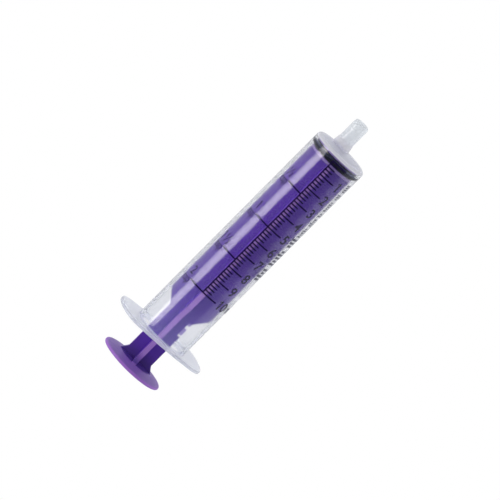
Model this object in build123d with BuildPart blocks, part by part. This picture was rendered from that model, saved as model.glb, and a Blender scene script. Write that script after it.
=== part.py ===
from build123d import *
import math
import os

# A 10 ml oral syringe that stands on its thumb rest. Millimetres, +Z from the thumb rest to the
# nozzle, origin at the centre of the thumb rest's rear face. The flange's wings lie along X, and the
# printed scale is on the -Y side. The plunger is pushed fully in.

# Bore, and the length of one millilitre that follows from it
bore_radius = 7.775
barrel_radius = 8.75
ml_length = 1000 / (math.pi * bore_radius**2)

# Places along the axis
flange_rear_z = 11.6
flange_thickness = 1.1
bead_z = 14.4
zero_line_z = 83.75
bore_end_z = 85.0
shoulder_z = 85.85
nozzle_tip_z = 95.4

# Barrel
flange_half_length = 15.35
flange_half_width = 10.1
flange_side_radius = 50.0
flange_corner_radius = 5.5
flange_edge_radius = 0.4
front_edge_radius = 1.0
front_dome_rise = 0.5
dome_rise_at_half = 0.75
bead_height = 0.2
bead_half_width = 0.6
bore_mouth_chamfer = 0.3

# Nozzle, off centre so that trapped air leaves first
nozzle_offset = 3.75
nozzle_foot_radius = 2.9
nozzle_neck_radius = 2.6
nozzle_radius = 2.45
nozzle_end_radius = 2.3
nozzle_edge_radius = 0.7
nozzle_root_z = 85.5
nozzle_neck_z = 88.2
nozzle_seat_z = 88.7
nozzle_seat_end_z = 94.1
lumen_radius = 1.0
lumen_mouth_radius = 1.4
lumen_mouth_depth = 2.6
lumen_overcut = 1.0

# Thumb rest
thumb_radius = 10.3
thumb_rim_z = 0.9
thumb_rim_edge = 0.4
thumb_cone_radius = 5.9
thumb_cone_z = 1.9
thumb_hub_z = 2.5
grip_ring_radii = (3.5, 5.5, 7.5)
grip_ring_width = 0.7
grip_ring_depth = 0.25

# Cruciform rod. One of its four ribs is turned to rib_angle, measured about Z from -Y towards +X
rib_angle = -18.5
rib_thickness = 1.5
stem_half_width = 4.3
stem_flare_z = 3.9
stem_flare_middle = (4.92, 2.95)
rod_shoulder_start_z = 20.8
rod_shoulder_end_z = 24.8
rib_half_width = 7.5
rod_shoulder_rounding = 1.5
notch_depth = 0.9
notch_spans = ((15.45, 16.1), (18.4, 19.6))
web_span = (16.1, 20.5)
web_recess = 0.5

# Head and seal
head_radius = 7.5
collar_z = 81.5
groove_rear_z = 82.3
groove_front_z = 84.4
head_front_z = 84.9
groove_floor_radius = 5.70
seal_section_radius = 1.0
seal_centre_radius = 6.75

# Ink of the printed scale, with angles about Z from -Y towards +X
ink_thickness = 0.03
baseline_angle = -24.0
baseline_width = 0.40
short_tick_angle = 17.5
long_tick_angle = 34.5
teaspoon_tick_angle = 34.5
tick_width = 0.43
ml_total = 10
ticks_per_ml = 5
ml_per_teaspoon_mark = 2.5


def outward(angle):
    """Unit vector square to Z, at this many degrees from -Y towards +X."""
    return Vector(math.sin(math.radians(angle)), -math.cos(math.radians(angle)), 0)


def axial_plane(angle):
    """Plane through Z whose local X points outward at the angle and whose local Y is Z."""
    return Plane(origin=(0, 0, 0), x_dir=outward(angle), z_dir=outward(angle - 90))


# ---------------------------------------------------------------- barrel
with BuildPart() as barrel:
    # Tube and closed front, with a shallow dome and a rounded front edge
    with BuildSketch(Plane.XZ):
        with BuildLine():
            Polyline((0, flange_rear_z), (barrel_radius, flange_rear_z), (barrel_radius, shoulder_z))
            ThreePointArc(
                (barrel_radius, shoulder_z),
                (barrel_radius / 2, shoulder_z + dome_rise_at_half * front_dome_rise),
                (0, shoulder_z + front_dome_rise),
            )
            Line((0, shoulder_z + front_dome_rise), (0, flange_rear_z))
        make_face()
        front_corner = vertices().group_by(Axis.X)[-1].sort_by(Axis.Y)[-1]
        fillet(front_corner, radius=front_edge_radius)
    revolve(axis=Axis.Z)

    # Finger flange: a disc with two bowed sides and rounded corners
    with BuildSketch(Plane.XY.offset(flange_rear_z)):
        Circle(flange_half_length)
        for side in (1, -1):
            with Locations((0, side * (flange_half_width - flange_side_radius))):
                Circle(flange_side_radius, mode=Mode.INTERSECT)
        fillet(vertices(), radius=flange_corner_radius)
    extrude(amount=flange_thickness)
    for face in (faces().sort_by(Axis.Z)[0], faces().filter_by(Plane.XY).sort_by(Axis.Z)[1]):
        fillet(face.outer_wire().edges(), radius=flange_edge_radius)

    # Nozzle: a tapered foot, a straight seat and a rounded end
    with BuildSketch(Plane.XZ.offset(-nozzle_offset)):
        with BuildLine():
            Polyline(
                (0, nozzle_root_z),
                (nozzle_foot_radius, nozzle_root_z),
                (nozzle_foot_radius, shoulder_z + front_dome_rise),
                (nozzle_neck_radius, nozzle_neck_z),
                (nozzle_radius, nozzle_seat_z),
                (nozzle_radius, nozzle_seat_end_z),
                (nozzle_end_radius, nozzle_tip_z),
                (0, nozzle_tip_z),
                close=True,
            )
        make_face()
        end_corner = vertices().group_by(Axis.Y)[-1].sort_by(Axis.X)[-1]
        fillet(end_corner, radius=nozzle_edge_radius)
    revolve(axis=Axis((0, nozzle_offset, 0), (0, 0, 1)))

    # Bore, open at the flange. A low bead near its mouth stops the seal from being pulled out
    with BuildSketch(Plane.XZ):
        with BuildLine():
            Polyline(
                (0, flange_rear_z),
                (bore_radius + bore_mouth_chamfer, flange_rear_z),
                (bore_radius, flange_rear_z + bore_mouth_chamfer),
                (bore_radius, bead_z - bead_half_width),
            )
            ThreePointArc(
                (bore_radius, bead_z - bead_half_width),
                (bore_radius - bead_height, bead_z),
                (bore_radius, bead_z + bead_half_width),
            )
            Polyline(
                (bore_radius, bead_z + bead_half_width),
                (bore_radius, bore_end_z),
                (0, bore_end_z),
                (0, flange_rear_z),
            )
        make_face()
    revolve(axis=Axis.Z, mode=Mode.SUBTRACT)

    # Lumen through the nozzle, wider at its mouth
    with BuildSketch(Plane.XY.offset(nozzle_tip_z)):
        with Locations((0, nozzle_offset)):
            Circle(lumen_radius)
    extrude(amount=bore_end_z - nozzle_tip_z - lumen_overcut, mode=Mode.SUBTRACT)
    with BuildSketch(Plane.XY.offset(nozzle_tip_z)):
        with Locations((0, nozzle_offset)):
            Circle(lumen_mouth_radius)
    extrude(amount=-lumen_mouth_depth, mode=Mode.SUBTRACT)

barrel.part.label = "barrel"


# ---------------------------------------------------------------- plunger rod
with BuildPart() as plunger_rod:
    # Thumb rest: a disc with a shallow cone and a low hub on its front
    with BuildSketch(Plane.XZ):
        with BuildLine():
            Polyline(
                (0, 0),
                (thumb_radius, 0),
                (thumb_radius, thumb_rim_z),
                (thumb_cone_radius, thumb_cone_z),
                (0, thumb_hub_z),
                close=True,
            )
        make_face()
        fillet(vertices().group_by(Axis.X)[-1], radius=thumb_rim_edge)
    revolve(axis=Axis.Z)

    # Four ribs: a narrow stem that flares into the thumb rest, then shoulders out to full width
    for angle in (rib_angle, rib_angle + 90):
        with BuildSketch(axial_plane(angle)):
            with BuildLine():
                Line((0, thumb_rim_z), (thumb_cone_radius, thumb_cone_z))
                ThreePointArc(
                    (thumb_cone_radius, thumb_cone_z),
                    stem_flare_middle,
                    (stem_half_width, stem_flare_z),
                )
                Polyline(
                    (stem_half_width, stem_flare_z),
                    (stem_half_width, rod_shoulder_start_z),
                    (rib_half_width, rod_shoulder_end_z),
                    (rib_half_width, groove_rear_z),
                    (0, groove_rear_z),
                    (0, thumb_rim_z),
                )
            make_face()
            shoulder_corners = vertices().filter_by_position(
                Axis.Y, rod_shoulder_start_z, rod_shoulder_end_z
            )
            fillet(shoulder_corners, radius=rod_shoulder_rounding)
            mirror(about=Plane.YZ)
        extrude(amount=rib_thickness / 2, both=True)

    # Two small notches in one edge of the stem, and a strip beside them thinned from both faces
    notched_plane = axial_plane(rib_angle + 90)
    for low, high in notch_spans:
        with BuildSketch(notched_plane):
            with Locations((stem_half_width, (low + high) / 2)):
                Rectangle(2 * notch_depth, high - low)
        extrude(amount=rib_thickness, both=True, mode=Mode.SUBTRACT)
    for side in (1, -1):
        with BuildSketch(notched_plane.offset(side * rib_thickness / 2)):
            with Locations((stem_half_width, sum(web_span) / 2)):
                Rectangle(2 * notch_depth, web_span[1] - web_span[0])
        extrude(amount=-side * web_recess, mode=Mode.SUBTRACT)

    # Head: collar, groove for the seal and front land
    with BuildSketch(Plane.XZ):
        with BuildLine():
            Polyline(
                (0, collar_z),
                (head_radius, collar_z),
                (head_radius, groove_rear_z),
                (groove_floor_radius, groove_rear_z),
                (groove_floor_radius, groove_front_z),
                (head_radius, groove_front_z),
                (head_radius, head_front_z),
                (0, head_front_z),
                close=True,
            )
        make_face()
    revolve(axis=Axis.Z)

    # Shallow concentric grip rings in the rear face
    for ring_radius in grip_ring_radii:
        with BuildSketch(Plane.XY):
            Circle(ring_radius + grip_ring_width / 2)
            Circle(ring_radius - grip_ring_width / 2, mode=Mode.SUBTRACT)
        extrude(amount=grip_ring_depth, mode=Mode.SUBTRACT)

plunger_rod.part.label = "plunger_rod"


# ---------------------------------------------------------------- seal
with BuildPart() as o_ring:
    with BuildSketch(Plane.XZ):
        with Locations((seal_centre_radius, (groove_rear_z + groove_front_z) / 2)):
            Circle(seal_section_radius)
    revolve(axis=Axis.Z)

o_ring.part.label = "o_ring"


# ---------------------------------------------------------------- printed scale
def ring_sector(start_angle, sweep_angle, low_z, height):
    """Ink on the barrel from low_z up, sweeping from start_angle towards +X, in the active part."""
    with BuildSketch(axial_plane(start_angle)) as section:
        with Locations((barrel_radius + ink_thickness / 2, low_z + height / 2)):
            Rectangle(ink_thickness, height)
    revolve(section.sketch, axis=Axis.Z, revolution_arc=sweep_angle)


def mark_z(volume_ml):
    """Height of the line for a volume in the syringe."""
    return zero_line_z - volume_ml * ml_length


baseline_sweep = math.degrees(baseline_width / barrel_radius)

# Millilitre scale: a baseline, a line each 0.2 ml and a longer line each 1 ml
with BuildPart() as ml_graduations:
    ring_sector(
        baseline_angle,
        baseline_sweep,
        mark_z(ml_total) - tick_width / 2,
        ml_total * ml_length + tick_width,
    )
    for count in range(ml_total * ticks_per_ml + 1):
        sweep = long_tick_angle if count % ticks_per_ml == 0 else short_tick_angle
        ring_sector(baseline_angle, sweep, mark_z(count / ticks_per_ml) - tick_width / 2, tick_width)

ml_graduations.part.label = "ml_graduations"

# Teaspoon scale: a line each half teaspoon, on the other side of the baseline
with BuildPart() as teaspoon_graduations:
    for count in range(1, round(ml_total / ml_per_teaspoon_mark) + 1):
        ring_sector(
            baseline_angle - teaspoon_tick_angle,
            teaspoon_tick_angle,
            mark_z(count * ml_per_teaspoon_mark) - tick_width / 2,
            tick_width,
        )

teaspoon_graduations.part.label = "teaspoon_graduations"


os.makedirs("parts", exist_ok=True)
for piece in (barrel, plunger_rod, o_ring, ml_graduations, teaspoon_graduations):
    export_step(piece.part, f"parts/{piece.part.label}.step")
    print(piece.part.label, len(piece.part.solids()), round(piece.part.volume, 2))
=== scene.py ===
import math

import bmesh
import bpy
from mathutils import Matrix, Vector


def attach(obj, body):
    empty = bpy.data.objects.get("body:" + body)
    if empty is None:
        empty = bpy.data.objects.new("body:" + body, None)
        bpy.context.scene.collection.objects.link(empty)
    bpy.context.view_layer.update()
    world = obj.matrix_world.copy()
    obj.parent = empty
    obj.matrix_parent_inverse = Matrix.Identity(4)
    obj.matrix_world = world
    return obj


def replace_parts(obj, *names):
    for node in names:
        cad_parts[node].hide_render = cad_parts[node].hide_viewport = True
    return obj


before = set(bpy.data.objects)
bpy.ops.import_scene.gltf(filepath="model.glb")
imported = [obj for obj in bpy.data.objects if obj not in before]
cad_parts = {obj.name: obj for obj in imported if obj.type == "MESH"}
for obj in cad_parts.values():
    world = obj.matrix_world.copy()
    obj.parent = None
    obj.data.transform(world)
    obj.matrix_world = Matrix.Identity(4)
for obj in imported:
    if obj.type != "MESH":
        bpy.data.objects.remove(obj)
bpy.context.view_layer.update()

MM = 0.001

# ---- camera: a long lens, looking at the printed side from a little to its left and from the nozzle's side
CAMERA_AZIMUTH = math.radians(-22.5)
CAMERA_ELEVATION = math.radians(9.8)
CAMERA_ROLL = math.radians(44.85)
CAMERA_DISTANCE = 1.8
FIELD_WIDTH = 0.1412
SENSOR_WIDTH = 36.0
AIM_HEIGHT = 0.0476
AIM_RIGHT = 0.00103
CLIP_END = 20

# ---- sizes shared with the CAD model
BARREL_RADIUS = 8.75 * MM
ML_LENGTH = 1000 / (math.pi * 7.775**2) * MM
ZERO_LINE_Z = 83.75 * MM
INK_THICKNESS = 0.03 * MM


def camera_axes():
    """Right, up and back vectors of the camera before its roll."""
    a, e = CAMERA_AZIMUTH, CAMERA_ELEVATION
    right = Vector((math.cos(a), math.sin(a), 0))
    back = Vector((math.sin(a) * math.cos(e), -math.cos(a) * math.cos(e), math.sin(e)))
    return right, back.cross(right), back


def add_camera():
    """The camera, rolled so that the part lies from corner to corner of the picture."""
    right, up, back = camera_axes()
    target = Vector((0, 0, AIM_HEIGHT)) + right * AIM_RIGHT
    rolled_right = right * math.cos(CAMERA_ROLL) + up * math.sin(CAMERA_ROLL)
    rolled_up = up * math.cos(CAMERA_ROLL) - right * math.sin(CAMERA_ROLL)
    data = bpy.data.cameras.new("camera")
    data.sensor_width = SENSOR_WIDTH
    data.lens = SENSOR_WIDTH * CAMERA_DISTANCE / FIELD_WIDTH
    data.clip_end = CLIP_END
    camera = bpy.data.objects.new("camera", data)
    rotation = Matrix((rolled_right, rolled_up, back)).transposed()
    camera.matrix_world = Matrix.Translation(target + back * CAMERA_DISTANCE) @ rotation.to_4x4()
    bpy.context.scene.collection.objects.link(camera)
    bpy.context.scene.camera = camera


add_camera()


# ---- noise: the part of its values that is spread over a range
NOISE_LOW = 0.3
NOISE_HIGH = 0.7

# ---- clear plastic: how it bends and reflects light, and how milky and what tone each region is.
# A band says where a region's finish starts to show and where it is complete.
# A scale is in waves of noise per metre.
PLASTIC_IOR = 1.49
VIEW_IOR = 1.12
VIEW_ROUGHNESS = 0.25
SHEEN_ROUGHNESS = 0.07
SHADOW_TINT = (0.62, 0.63, 0.65)
CLOUD_SCALE = 90
CLEAR_TINTS = (0.999, 0.997, 0.995), (0.991, 0.988, 0.987)
CLEAR_MILK = 0.010
TUBE_MILK = 0.06
FLANGE_MILK = 0.42
FRONT_MILK = 0.60
WALL_MILK = 0.30
NOZZLE_MILK = 0.25
TUBE_TONE = (0.74, 0.87, 1.0)
FLANGE_TONE = (0.90, 0.93, 0.98)
# the closed front's milk tone, tinted blue-violet as painted light from the purple plunger head behind it
FRONT_GLOW_TONE = (0.90, 0.90, 1.0)
WALL_TONE = (0.95, 0.95, 1.0)
FOOT_TONE = (0.95, 0.95, 0.97)
SEAT_TONE = (0.87, 0.89, 0.90)
TUBE_BAND = (45 * MM, 14 * MM)
FLANGE_BAND = (13.2 * MM, 12.7 * MM)
FRONT_BAND = (84.9 * MM, 85.1 * MM)
WALL_BAND = (7.2 * MM, 7.6 * MM)
FOOT_BAND = (86.3 * MM, 87.3 * MM)
SEAT_BAND = (87.8 * MM, 89.2 * MM)

# of the light that the milk scatters, the share that goes on through, and its change at the closed front
SHARE_ON = 0.75
FRONT_SHARE_CHANGE = -0.6

# ---- purple plastic
PURPLE_IOR = 1.5
MOTTLE_SCALE = 120
ROD_PURPLES = (0.125, 0.034, 0.46), (0.110, 0.030, 0.43)
# painted light: the thumb rest is pinker at its rim, for light gathering there, and lighter on its face, for
# light falling on it from above
REST_GLOW_PURPLE = (0.38, 0.16, 0.66)
FACE_LIT_PURPLE = (0.25, 0.125, 0.50)
# painted shade: a darker purple on the hub and ribs next to the thumb rest, where shade falls between them
HUB_SHADE_PURPLE = (0.085, 0.035, 0.30)
# painted light: the pink of the ribs' thin outer edges, for light gathering in the translucent plastic
EDGE_GLOW_PINK = (0.35, 0.18, 0.60)
HEAD_PURPLE = (0.20, 0.13, 0.40)
# painted light: the pale purple of the thin web beside the notches, for light coming through it
WEB_GLOW_PURPLE = (0.45, 0.34, 0.76)
HUB_SHADE_BAND = (6.5 * MM, 3.0 * MM)
EDGE_RADIUS_BAND = (3.5 * MM, 3.8 * MM)
EDGE_FACING_BAND = (0.5, 0.3)
EDGE_HEIGHT_BAND = (2.6 * MM, 6.0 * MM)
REST_HEIGHT_BAND = (2.5 * MM, 2.2 * MM)
REST_RADIUS_BAND = (5.4 * MM, 6.4 * MM)
FACE_BAND = (0.8 * MM, 1.1 * MM)
HEAD_BAND = (81.0 * MM, 81.2 * MM)

# the plunger's notched rib and the thinned strip beside its notches, as in the CAD model
NOTCHED_RIB_ANGLE = math.radians(71.5)
WEB_RADIUS_BAND = (3.3 * MM, 3.4 * MM)
WEB_START_BAND = (16.0 * MM, 16.1 * MM)
WEB_END_BAND = (20.6 * MM, 20.5 * MM)

SATIN_SCALE = 900
SATIN_ROUGHNESS = (0.34, 0.46)
REST_ROUGHER = 0.08
GRAIN_SCALE = 2500
GRAIN_DETAIL = 3
GRAIN_HEIGHT = 0.004 * MM

# ---- rubber and ink
RUBBER_SPECULAR = 0.05
RUBBER_TINT_SCALE = 400
RUBBER_ROUGHNESS_SCALE = 1500
RUBBER_ROUGHNESS = (0.35, 0.5)
RUBBER_BLACKS = (0.002, 0.002, 0.010), (0.004, 0.004, 0.016)
FILM_COLOUR = (0.45, 0.52, 1.0)
FILM_ROUGHNESS = 0.25
FILM_SHARE = 0.12
FILM_BAND = (83.3 * MM, 83.7 * MM)
INK_TINT_SCALE = 2500
INK_BLACKS = (0.006, 0.001, 0.034), (0.012, 0.003, 0.056)
INK_ROUGHNESS = 0.15


def new_material(name):
    """A material with an empty tree and its output node."""
    material = bpy.data.materials.new(name)
    material.use_nodes = True
    tree = material.node_tree
    tree.nodes.clear()
    output = tree.nodes.new("ShaderNodeOutputMaterial")
    return material, tree, output


def principled(tree, **values):
    """Principled shader with these constants, named as its sockets are, with _ for a space."""
    shader = tree.nodes.new("ShaderNodeBsdfPrincipled")
    for key, value in values.items():
        shader.inputs[key.replace("_", " ")].default_value = value
    return shader


def noise(tree, scale, detail=2.0, roughness=0.5):
    """Noise over the object's own coordinates, with scale in waves per metre."""
    where = tree.nodes.new("ShaderNodeTexCoord")
    texture = tree.nodes.new("ShaderNodeTexNoise")
    texture.inputs["Scale"].default_value = scale
    texture.inputs["Detail"].default_value = detail
    texture.inputs["Roughness"].default_value = roughness
    tree.links.new(where.outputs["Object"], texture.inputs["Vector"])
    return texture.outputs["Fac"]


def spread(tree, source, low, high):
    """Maps a noise value to the range from low to high."""
    node = tree.nodes.new("ShaderNodeMapRange")
    node.inputs["From Min"].default_value = NOISE_LOW
    node.inputs["From Max"].default_value = NOISE_HIGH
    node.inputs["To Min"].default_value = low
    node.inputs["To Max"].default_value = high
    tree.links.new(source, node.inputs["Value"])
    return node.outputs["Result"]


def colours(tree, source, first, second):
    """A colour between two constants, by a factor socket."""
    node = tree.nodes.new("ShaderNodeMix")
    node.data_type = "RGBA"
    node.inputs["A"].default_value = (*first, 1)
    node.inputs["B"].default_value = (*second, 1)
    tree.links.new(source, node.inputs["Factor"])
    return node.outputs["Result"]


def bump(tree, source, height, shader):
    """Gives the shader's surface bumps as high as this, in metres."""
    node = tree.nodes.new("ShaderNodeBump")
    node.inputs["Distance"].default_value = height
    tree.links.new(source, node.inputs["Height"])
    tree.links.new(node.outputs["Normal"], shader.inputs["Normal"])


def mix_shaders(tree, factor, first, second):
    """Mix Shader of two shaders, with a number or a socket as its factor."""
    node = tree.nodes.new("ShaderNodeMixShader")
    if isinstance(factor, float):
        node.inputs["Fac"].default_value = factor
    else:
        tree.links.new(factor, node.inputs["Fac"])
    tree.links.new(first.outputs[0], node.inputs[1])
    tree.links.new(second.outputs[0], node.inputs[2])
    return node


def maths(tree, operation, *values):
    """A Math node's result, from numbers or sockets."""
    node = tree.nodes.new("ShaderNodeMath")
    node.operation = operation
    for socket, value in zip(node.inputs, values):
        if isinstance(value, (int, float)):
            socket.default_value = value
        else:
            tree.links.new(value, socket)
    return node.outputs["Value"]


def product(tree, first, *others):
    """The sockets multiplied together."""
    for other in others:
        first = maths(tree, "MULTIPLY", first, other)
    return first


def ramp(tree, source, start, end):
    """0 where the source is at start and 1 where it is at end."""
    node = tree.nodes.new("ShaderNodeMapRange")
    node.inputs["From Min"].default_value = start
    node.inputs["From Max"].default_value = end
    tree.links.new(source, node.inputs["Value"])
    return node.outputs["Result"]


def height_on_part(tree):
    """Height in the part's own frame, whatever its pose."""
    where = tree.nodes.new("ShaderNodeTexCoord")
    apart = tree.nodes.new("ShaderNodeSeparateXYZ")
    tree.links.new(where.outputs["Object"], apart.inputs["Vector"])
    return apart.outputs["Z"]


def place_on_part(tree):
    """Distance from the axis, height, and how far the surface faces sideways, around the axis."""
    where = tree.nodes.new("ShaderNodeTexCoord")
    flat = tree.nodes.new("ShaderNodeVectorMath")
    flat.operation = "MULTIPLY"
    flat.inputs[1].default_value = (1, 1, 0)
    tree.links.new(where.outputs["Object"], flat.inputs[0])
    radius = tree.nodes.new("ShaderNodeVectorMath")
    radius.operation = "LENGTH"
    tree.links.new(flat.outputs["Vector"], radius.inputs[0])
    around = tree.nodes.new("ShaderNodeVectorMath")
    around.operation = "CROSS_PRODUCT"
    around.inputs[0].default_value = (0, 0, 1)
    tree.links.new(flat.outputs["Vector"], around.inputs[1])
    unit = tree.nodes.new("ShaderNodeVectorMath")
    unit.operation = "NORMALIZE"
    tree.links.new(around.outputs["Vector"], unit.inputs[0])
    facing = tree.nodes.new("ShaderNodeVectorMath")
    facing.operation = "DOT_PRODUCT"
    tree.links.new(unit.outputs["Vector"], facing.inputs[0])
    tree.links.new(where.outputs["Normal"], facing.inputs[1])
    return radius.outputs["Value"], height_on_part(tree), maths(tree, "ABSOLUTE", facing.outputs["Value"])


def on_web(tree):
    """1 on the thinned strip beside the plunger's notches, where light comes through."""
    where = tree.nodes.new("ShaderNodeTexCoord")
    outward = tree.nodes.new("ShaderNodeVectorMath")
    outward.operation = "DOT_PRODUCT"
    direction = (math.sin(NOTCHED_RIB_ANGLE), -math.cos(NOTCHED_RIB_ANGLE), 0)
    outward.inputs[1].default_value = direction
    tree.links.new(where.outputs["Object"], outward.inputs[0])
    height = height_on_part(tree)
    return product(
        tree,
        ramp(tree, outward.outputs["Value"], *WEB_RADIUS_BAND),
        ramp(tree, height, *WEB_START_BAND),
        ramp(tree, height, *WEB_END_BAND),
    )


def blend(tree, factor, first, second):
    """The first colour, a socket, turned to the second, a constant, by a factor socket."""
    node = tree.nodes.new("ShaderNodeMix")
    node.data_type = "RGBA"
    tree.links.new(factor, node.inputs["Factor"])
    tree.links.new(first, node.inputs["A"])
    node.inputs["B"].default_value = (*second, 1)
    return node.outputs["Result"]


def milky(tree, share_on, colour):
    """Light that a cloudy plastic scatters, some of it back and a share of it on."""
    back = tree.nodes.new("ShaderNodeBsdfDiffuse")
    on = tree.nodes.new("ShaderNodeBsdfTranslucent")
    tree.links.new(colour, back.inputs["Color"])
    tree.links.new(colour, on.inputs["Color"])
    return mix_shaders(tree, share_on, back, on)


def clear_milk(tree):
    """The milky share of the barrel's surface at each place, and the shader of that share."""
    radius, height, _ = place_on_part(tree)
    on_flange = ramp(tree, height, *FLANGE_BAND)
    front = ramp(tree, height, *FRONT_BAND)
    wall = product(tree, front, ramp(tree, radius, *WALL_BAND))
    on_nozzle = ramp(tree, height, *FOOT_BAND)
    on_seat = ramp(tree, height, *SEAT_BAND)
    milk = maths(tree, "MULTIPLY_ADD", ramp(tree, height, *TUBE_BAND), TUBE_MILK, CLEAR_MILK)
    regions = ((on_flange, FLANGE_MILK), (front, FRONT_MILK), (wall, WALL_MILK), (on_nozzle, NOZZLE_MILK))
    for region, more in regions:
        milk = maths(tree, "MULTIPLY_ADD", region, more, milk)
    closed_front = maths(tree, "SUBTRACT", front, on_seat)
    share_on = maths(tree, "MULTIPLY_ADD", closed_front, FRONT_SHARE_CHANGE, SHARE_ON)
    tone = colours(tree, on_flange, TUBE_TONE, FLANGE_TONE)
    # painted light: the closed front tinted blue-violet for the purple plunger head behind it
    tone = blend(tree, front, tone, FRONT_GLOW_TONE)
    tone = blend(tree, wall, tone, WALL_TONE)
    tone = blend(tree, on_nozzle, tone, FOOT_TONE)
    tone = blend(tree, on_seat, tone, SEAT_TONE)
    return milk, milky(tree, share_on, tone)


def plastic_fresnel(tree):
    """The plastic's reflection from outside, on both sides of its surface."""
    side = tree.nodes.new("ShaderNodeNewGeometry")
    index = tree.nodes.new("ShaderNodeMix")
    index.inputs["A"].default_value = PLASTIC_IOR
    index.inputs["B"].default_value = 1 / PLASTIC_IOR
    tree.links.new(side.outputs["Backfacing"], index.inputs["Factor"])
    fresnel = tree.nodes.new("ShaderNodeFresnel")
    tree.links.new(index.outputs["Result"], fresnel.inputs["IOR"])
    return fresnel.outputs["Fac"]


def clear_plastic():
    """Clear polypropylene: a crisp reflection over a soft view through, cloudier toward the flange."""
    material, tree, output = new_material("clear_polypropylene")
    through = tree.nodes.new("ShaderNodeBsdfGlass")
    through.distribution = "MULTI_GGX"
    through.inputs["IOR"].default_value = VIEW_IOR
    through.inputs["Roughness"].default_value = VIEW_ROUGHNESS
    cloud = spread(tree, noise(tree, CLOUD_SCALE), 0, 1)
    tree.links.new(colours(tree, cloud, *CLEAR_TINTS), through.inputs["Color"])
    milk, scattering = clear_milk(tree)
    body = mix_shaders(tree, milk, through, scattering)
    sheen = tree.nodes.new("ShaderNodeBsdfGlossy")
    sheen.inputs["Roughness"].default_value = SHEEN_ROUGHNESS
    surface = mix_shaders(tree, plastic_fresnel(tree), body, sheen)
    path = tree.nodes.new("ShaderNodeLightPath")
    open_air = tree.nodes.new("ShaderNodeBsdfTransparent")
    open_air.inputs["Color"].default_value = (*SHADOW_TINT, 1)
    surface = mix_shaders(tree, path.outputs["Is Shadow Ray"], surface, open_air)
    tree.links.new(surface.outputs[0], output.inputs["Surface"])
    return material


def purple_plastic():
    """Purple polypropylene, with painted light and shade: pink on the ribs' thin edges and the thumb rest's
    rim for light gathering in them, a lighter thumb rest face, a paler web where light comes through, and
    darker near the hub.
    """
    material, tree, output = new_material("purple_plastic")
    shader = principled(tree, IOR=PURPLE_IOR)
    radius, height, sideways = place_on_part(tree)
    # painted light: mask of the ribs' outward edges, where pink stands in for light gathering in them
    edges = product(
        tree,
        ramp(tree, radius, *EDGE_RADIUS_BAND),
        ramp(tree, sideways, *EDGE_FACING_BAND),
        ramp(tree, height, *EDGE_HEIGHT_BAND),
    )
    on_rest = product(tree, ramp(tree, height, *REST_HEIGHT_BAND), ramp(tree, radius, *REST_RADIUS_BAND))
    on_face = product(tree, on_rest, ramp(tree, height, *FACE_BAND))
    tint = colours(tree, spread(tree, noise(tree, MOTTLE_SCALE), 0, 1), *ROD_PURPLES)
    # painted shade: darker toward the thumb rest
    tint = blend(tree, ramp(tree, height, *HUB_SHADE_BAND), tint, HUB_SHADE_PURPLE)
    tint = blend(tree, edges, tint, EDGE_GLOW_PINK)
    # painted light on the thin web, where light comes through
    tint = blend(tree, on_web(tree), tint, WEB_GLOW_PURPLE)
    # painted light: the thumb rest's rim pinker and its face lighter
    tint = blend(tree, on_rest, tint, REST_GLOW_PURPLE)
    tint = blend(tree, on_face, tint, FACE_LIT_PURPLE)
    tint = blend(tree, ramp(tree, height, *HEAD_BAND), tint, HEAD_PURPLE)
    tree.links.new(tint, shader.inputs["Base Color"])
    satin = spread(tree, noise(tree, SATIN_SCALE), *SATIN_ROUGHNESS)
    satin = maths(tree, "MULTIPLY_ADD", on_rest, REST_ROUGHER, satin)
    tree.links.new(satin, shader.inputs["Roughness"])
    bump(tree, noise(tree, GRAIN_SCALE, GRAIN_DETAIL), GRAIN_HEIGHT, shader)
    tree.links.new(shader.outputs[0], output.inputs["Surface"])
    return material


def black_rubber():
    """Black rubber, with a faint bluish film on the ring's front, ahead of where it presses on the bore."""
    material, tree, output = new_material("black_rubber")
    shader = principled(tree, Specular_IOR_Level=RUBBER_SPECULAR)
    black = colours(tree, spread(tree, noise(tree, RUBBER_TINT_SCALE), 0, 1), *RUBBER_BLACKS)
    tree.links.new(black, shader.inputs["Base Color"])
    satin = spread(tree, noise(tree, RUBBER_ROUGHNESS_SCALE), *RUBBER_ROUGHNESS)
    tree.links.new(satin, shader.inputs["Roughness"])
    film = tree.nodes.new("ShaderNodeBsdfGlossy")
    film.inputs["Color"].default_value = (*FILM_COLOUR, 1)
    film.inputs["Roughness"].default_value = FILM_ROUGHNESS
    wet = maths(tree, "MULTIPLY", ramp(tree, height_on_part(tree), *FILM_BAND), FILM_SHARE)
    surface = mix_shaders(tree, wet, shader, film)
    tree.links.new(surface.outputs[0], output.inputs["Surface"])
    return material


def dark_ink():
    """Dark violet printing ink, slightly glossy."""
    material, tree, output = new_material("dark_ink")
    shader = principled(tree, Roughness=INK_ROUGHNESS)
    black = colours(tree, spread(tree, noise(tree, INK_TINT_SCALE), 0, 1), *INK_BLACKS)
    tree.links.new(black, shader.inputs["Base Color"])
    tree.links.new(shader.outputs[0], output.inputs["Surface"])
    return material


CLEAR = clear_plastic()
PURPLE = purple_plastic()
RUBBER = black_rubber()
INK = dark_ink()

FINISHES = {
    "barrel": CLEAR,
    "plunger_rod": PURPLE,
    "o_ring": RUBBER,
    "ml_graduations": INK,
    "teaspoon_graduations": INK,
}
for name, material in FINISHES.items():
    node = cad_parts[name]
    for slot in node.material_slots:
        slot.material = material


# ---- seal: the ring as it stands squeezed against the bore
SEAL_Z = 83.25 * MM
SEAL_MIDDLE_RADIUS = 6.75 * MM
SEAL_HALF_DEPTH = 1.12 * MM
SEAL_HALF_WIDTH = 0.94 * MM
SEAL_OUTER_RADIUS = 7.80 * MM
SEAL_INNER_RADIUS = 5.71 * MM
SEAL_SQUARENESS = 2.5
SEAL_STEPS_AROUND = 180
SEAL_STEPS_ACROSS = 36


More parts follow.
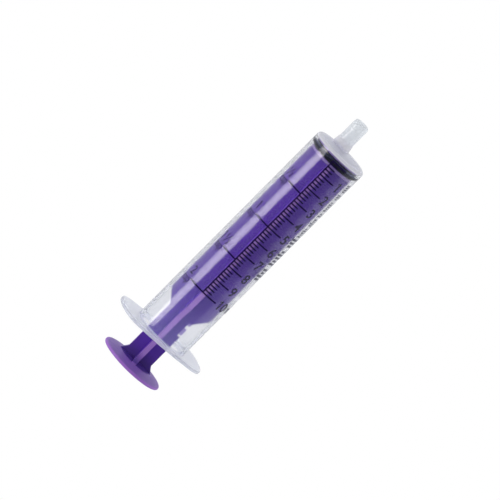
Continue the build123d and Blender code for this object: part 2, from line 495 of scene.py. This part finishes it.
def add_object(name, mesh, body):
    """A new piece of the part, on this body."""
    piece = bpy.data.objects.new(name, mesh)
    bpy.context.scene.collection.objects.link(piece)
    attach(piece, body)
    return piece


def superellipse(angle, exponent):
    """A point of a rounded square of half size 1, squarer as the exponent grows."""
    c, s = math.cos(angle), math.sin(angle)
    return math.copysign(abs(c) ** (2 / exponent), c), math.copysign(abs(s) ** (2 / exponent), s)


def add_squeezed_seal():
    """The ring with its squeezed section, in place of the CAD model's round one."""
    around, across = SEAL_STEPS_AROUND, SEAL_STEPS_ACROSS
    mesh = bpy.data.meshes.new("squeezed_seal")
    points, faces = [], []
    for i in range(around):
        turn = 2 * math.pi * i / around
        for j in range(across):
            depth, width = superellipse(2 * math.pi * j / across, SEAL_SQUARENESS)
            r = SEAL_MIDDLE_RADIUS + SEAL_HALF_DEPTH * depth
            r = min(max(r, SEAL_INNER_RADIUS), SEAL_OUTER_RADIUS)
            points.append((r * math.cos(turn), r * math.sin(turn), SEAL_Z + SEAL_HALF_WIDTH * width))
            k, n = (i + 1) % around, (j + 1) % across
            faces.append((i * across + j, k * across + j, k * across + n, i * across + n))
    mesh.from_pydata(points, [], faces)
    mesh.polygons.foreach_set("use_smooth", [True] * len(mesh.polygons))
    mesh.materials.append(RUBBER)
    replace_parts(add_object("squeezed_seal", mesh, "seal"), "o_ring")


add_squeezed_seal()


# ---- printed numerals, labels and legend, wrapped on the barrel as thin closed ink
STRIP_WIDTH = 0.4 * MM
MERGE_DISTANCE = 0.0001

# the built-in font, in ems: the height of its figures, half the depth that its text is drawn with, and the
# flag that a figure 1 is given, measured from the left of its stem
FIGURE_EM = 0.7
HALF_DEPTH_EM = 0.5
FLAG_OUTLINE = ((0.03, 0.70), (-0.13, 0.60), (-0.13, 0.52), (0.03, 0.60))

# angles around the barrel are in degrees from the camera's side
LAST_ML = 10
NUMERAL_ANGLE = 44.1
NUMERAL_HEIGHT = 3.05 * MM
NUMERAL_CONDENSE = 0.9
NUMERAL_WEIGHT = 0.02
NUMERAL_LIFT = 0.25 * MM
LAST_NUMERAL_LEFT = -0.8 * MM

TEASPOON_ANGLE = -45.5
TEASPOON_STEP_ML = 2.5
TEASPOON_COUNTS = ("\u00bd", "1", "1\u00bd", "2")
FRACTION_HEIGHT = 3.0 * MM
WHOLE_HEIGHT = 2.75 * MM
COUNT_CONDENSE = 0.8
COUNT_LIFT = 2.4 * MM
TSP_ANGLE = TEASPOON_ANGLE - 1.0
TSP_HEIGHT = 2.37 * MM
TSP_CONDENSE = 0.78
TSP_DROP = 0.55 * MM

# the legend's bars: each line of it has a size and its words' lengths, and the rest is in mm at size 1
LEGEND_ANGLE = 69.3
LEGEND_TOP_Z = 80.8 * MM
LEGEND_LINES = ((1.0, (4, 3, 5, 2, 4, 5)), (1.6, (3, 5, 4)))
BAR_LENGTH = 2.1
BAR_LENGTH_STEP = 0.4
BAR_WIDTH = 0.48
BAR_PITCH = 0.76
WORD_GAP = 0.7


def wrap_on_barrel(bm, centre_angle, centre_z):
    """Bends flat ink, whose x runs around and y along the barrel, onto it."""
    left = min(v.co.x for v in bm.verts)
    right = max(v.co.x for v in bm.verts)
    for k in range(math.ceil(left / STRIP_WIDTH), math.floor(right / STRIP_WIDTH) + 1):
        everything = bm.verts[:] + bm.edges[:] + bm.faces[:]
        bmesh.ops.bisect_plane(bm, geom=everything, plane_co=(k * STRIP_WIDTH, 0, 0), plane_no=(1, 0, 0))
    for v in bm.verts:
        turn = CAMERA_AZIMUTH + math.radians(centre_angle) + v.co.x / BARREL_RADIUS
        r = BARREL_RADIUS + INK_THICKNESS / 2 + v.co.z
        v.co = Vector((r * math.sin(turn), -r * math.cos(turn), centre_z + v.co.y))


def text_ink(text, height, condense, left=None, weight=0.0):
    """Flat closed ink of the text, with figures this tall, centred, or with its left end given."""
    curve = bpy.data.curves.new(text, "FONT")
    curve.body = text
    curve.extrude = HALF_DEPTH_EM
    curve.offset = weight
    holder = bpy.data.objects.new(text, curve)
    bpy.context.scene.collection.objects.link(holder)
    depsgraph = bpy.context.evaluated_depsgraph_get()
    flat = bpy.data.meshes.new_from_object(holder.evaluated_get(depsgraph))
    bpy.data.objects.remove(holder)
    bm = bmesh.new()
    bm.from_mesh(flat)
    bpy.data.meshes.remove(flat)
    bmesh.ops.remove_doubles(bm, verts=bm.verts, dist=MERGE_DISTANCE)
    if text.startswith("1"):
        add_flag(bm)
    scale = height / FIGURE_EM
    low = min(v.co.x for v in bm.verts)
    high = max(v.co.x for v in bm.verts)
    start = (low - high) / 2 * scale * condense if left is None else left
    for v in bm.verts:
        x = start + (v.co.x - low) * scale * condense
        v.co = Vector((x, (v.co.y - FIGURE_EM / 2) * scale, v.co.z * INK_THICKNESS))
    return bm


def add_flag(bm):
    """The short stroke at the top left of a figure 1, which the font draws as a plain bar."""
    stem = min(v.co.x for v in bm.verts)
    rear, front = (
        [bm.verts.new((stem + x, y, z)) for x, y in FLAG_OUTLINE] for z in (-HALF_DEPTH_EM, HALF_DEPTH_EM)
    )
    bm.faces.new(reversed(rear))
    bm.faces.new(front)
    for k in range(len(FLAG_OUTLINE)):
        n = (k + 1) % len(FLAG_OUTLINE)
        bm.faces.new((rear[k], rear[n], front[n], front[k]))
    bmesh.ops.recalc_face_normals(bm, faces=bm.faces)


def add_print(name, parts):
    """One ink object from wrapped pieces of ink."""
    whole = bmesh.new()
    for bm in parts:
        piece = bpy.data.meshes.new(name)
        bm.to_mesh(piece)
        bm.free()
        whole.from_mesh(piece)
        bpy.data.meshes.remove(piece)
    mesh = bpy.data.meshes.new(name)
    whole.to_mesh(mesh)
    whole.free()
    mesh.materials.append(INK)
    add_object(name, mesh, "barrel")


def mark_z(volume_ml):
    """Height of the scale's mark for this volume."""
    return ZERO_LINE_Z - volume_ml * ML_LENGTH


def add_numerals():
    """A figure beside each whole millilitre, and the unit after the last one."""
    parts = []
    for number in range(1, LAST_ML + 1):
        last = number == LAST_ML
        text, left = (f"{number} ml", LAST_NUMERAL_LEFT) if last else (str(number), None)
        bm = text_ink(text, NUMERAL_HEIGHT, NUMERAL_CONDENSE, left, NUMERAL_WEIGHT)
        wrap_on_barrel(bm, NUMERAL_ANGLE, mark_z(number) + NUMERAL_LIFT)
        parts.append(bm)
    add_print("ml_numerals", parts)


def add_teaspoon_labels():
    """The number of teaspoons above each teaspoon line, and the unit below it."""
    parts = []
    for step, label in enumerate(TEASPOON_COUNTS, 1):
        line_z = mark_z(TEASPOON_STEP_ML * step)
        count = text_ink(label, FRACTION_HEIGHT if "\u00bd" in label else WHOLE_HEIGHT, COUNT_CONDENSE)
        wrap_on_barrel(count, TEASPOON_ANGLE, line_z + COUNT_LIFT)
        unit = text_ink("tsp", TSP_HEIGHT, TSP_CONDENSE)
        wrap_on_barrel(unit, TSP_ANGLE, line_z - TSP_DROP)
        parts += [count, unit]
    add_print("teaspoon_labels", parts)


def add_legend():
    """A row of plain bars along the barrel, grouped in words, small ones and then large ones."""
    parts = []
    z = LEGEND_TOP_Z
    for size, words in LEGEND_LINES:
        for word in words:
            for letter in range(word):
                bm = bmesh.new()
                bmesh.ops.create_cube(bm, size=1.0)
                length = (BAR_LENGTH - BAR_LENGTH_STEP * ((letter + word) % 3)) * size * MM
                for v in bm.verts:
                    width = v.co.y * BAR_WIDTH * size * MM
                    v.co = Vector((v.co.x * length, width, v.co.z * INK_THICKNESS))
                wrap_on_barrel(bm, LEGEND_ANGLE, z)
                parts.append(bm)
                z -= BAR_PITCH * size * MM
            z -= WORD_GAP * size * MM
    add_print("legend_bars", parts)


add_numerals()
add_teaspoon_labels()
add_legend()


# ---- stage: a pale floor that only the camera sees, and soft studio light.
# A sweep is the cosines that it blends between, and the strengths behind the object and in front of it.
FLOOR_HALF_SIZE = 6.0
FLOOR_DROP = 0.0002
MIRRORED_SWEEP = (0.25, 0.45, 0.85, 0.07)
MIRRORED_COLOUR = (0.93, 0.95, 1.0)
SCATTERED_SWEEP = (-0.2, 0.6, 0.72, 0.42)
SCATTERED_COLOUR = (0.96, 0.97, 1.0)
WITHIN_STRENGTH = 0.80
THROUGH_STRENGTH = 0.86
THROUGH_COLOUR = (0.965, 0.97, 1.0)
HALF_A_BOUNCE = 0.5
LAMP_COLOUR = (1.0, 0.96, 0.95)


def emission(tree, colour, strength):
    """Emission shader with these constants."""
    shader = tree.nodes.new("ShaderNodeEmission")
    shader.inputs["Color"].default_value = (*colour, 1)
    shader.inputs["Strength"].default_value = strength
    return shader


def add_floor():
    """A pale plane, just under the part, that only the camera sees."""
    half = FLOOR_HALF_SIZE
    mesh = bpy.data.meshes.new("floor")
    corners = [(-half, -half, 0), (half, -half, 0), (half, half, 0), (-half, half, 0)]
    mesh.from_pydata(corners, [], [(0, 1, 2, 3)])
    floor = bpy.data.objects.new("floor", mesh)
    bpy.context.scene.collection.objects.link(floor)
    material, tree, output = new_material("pale_floor")
    tree.links.new(emission(tree, (1, 1, 1), 1.0).outputs[0], output.inputs["Surface"])
    mesh.materials.append(material)
    floor.visible_diffuse = False
    floor.visible_glossy = False
    floor.visible_transmission = False
    floor.visible_shadow = False
    floor.location.z = -FLOOR_DROP


def background(tree, strength, colour=(1, 1, 1)):
    """Background shader, with a number or a socket as its strength."""
    node = tree.nodes.new("ShaderNodeBackground")
    node.inputs["Color"].default_value = (*colour, 1)
    if isinstance(strength, (int, float)):
        node.inputs["Strength"].default_value = strength
    else:
        tree.links.new(strength, node.inputs["Strength"])
    return node


def toward_camera(tree, start, end, behind, front):
    """Blends from one value behind the object to another in front, between two angles' cosines."""
    where = tree.nodes.new("ShaderNodeTexCoord")
    facing = tree.nodes.new("ShaderNodeVectorMath")
    facing.operation = "DOT_PRODUCT"
    facing.inputs[1].default_value = camera_axes()[2]
    tree.links.new(where.outputs["Generated"], facing.inputs[0])
    fall = tree.nodes.new("ShaderNodeMapRange")
    fall.interpolation_type = "SMOOTHSTEP"
    fall.inputs["From Min"].default_value = start
    fall.inputs["From Max"].default_value = end
    fall.inputs["To Min"].default_value = behind
    fall.inputs["To Max"].default_value = front
    tree.links.new(facing.outputs["Value"], fall.inputs["Value"])
    return fall.outputs["Result"]


def add_world():
    """White to the camera. To the object, a pale sweep behind and beside it and a dim room in front."""
    world = bpy.data.worlds.new("studio")
    world.use_nodes = True
    bpy.context.scene.world = world
    tree = world.node_tree
    tree.nodes.clear()
    path = tree.nodes.new("ShaderNodeLightPath")
    mirrored = background(tree, toward_camera(tree, *MIRRORED_SWEEP), MIRRORED_COLOUR)
    scattered = background(tree, toward_camera(tree, *SCATTERED_SWEEP), SCATTERED_COLOUR)
    within = background(tree, WITHIN_STRENGTH, SCATTERED_COLOUR)
    through = background(tree, THROUGH_STRENGTH, THROUGH_COLOUR)
    seen = background(tree, 1.0)
    has_mirrored = maths(tree, "GREATER_THAN", path.outputs["Glossy Depth"], HALF_A_BOUNCE)
    has_scattered = maths(tree, "GREATER_THAN", path.outputs["Diffuse Depth"], HALF_A_BOUNCE)
    has_entered = maths(tree, "GREATER_THAN", path.outputs["Transmission Depth"], HALF_A_BOUNCE)
    studio = mix_shaders(tree, path.outputs["Is Camera Ray"], through, seen)
    studio = mix_shaders(tree, has_mirrored, studio, mirrored)
    scattered = mix_shaders(tree, has_entered, scattered, within)
    studio = mix_shaders(tree, has_scattered, studio, scattered)
    output = tree.nodes.new("ShaderNodeOutputWorld")
    tree.links.new(studio.outputs[0], output.inputs["Surface"])


def add_softbox(name, turn, lift, distance, width, height, power, mirrored=True):
    """An area light aimed at the part's middle, turned about Z from the camera's side, positive to the right.

    One that isn't mirrored lights surfaces but shows in no reflection and through no glass."""
    right, _, back = camera_axes()
    flat_back = Vector((back.x, back.y, 0)).normalized()
    turn, lift = math.radians(turn), math.radians(lift)
    way = flat_back * math.cos(turn) + right * math.sin(turn)
    way = way * math.cos(lift) + Vector((0, 0, math.sin(lift)))
    data = bpy.data.lights.new(name, "AREA")
    data.shape = "RECTANGLE"
    data.size = width
    data.size_y = height
    data.energy = power
    lamp = bpy.data.objects.new(name, data)
    lamp.location = Vector((0, 0, AIM_HEIGHT)) + way * distance
    lamp.rotation_euler = way.to_track_quat("Z", "Y").to_euler()
    lamp.visible_camera = False
    lamp.visible_glossy = mirrored
    lamp.visible_transmission = mirrored
    data.color = LAMP_COLOUR
    bpy.context.scene.collection.objects.link(lamp)


bpy.context.scene.view_settings.view_transform = "Standard"
add_floor()
add_world()
add_softbox("left_strip", turn=-56, lift=-9.5, distance=0.35, width=0.18, height=0.12, power=0.36)
add_softbox("right_fill", turn=60, lift=10, distance=0.45, width=0.2, height=0.2, power=0.22, mirrored=False)
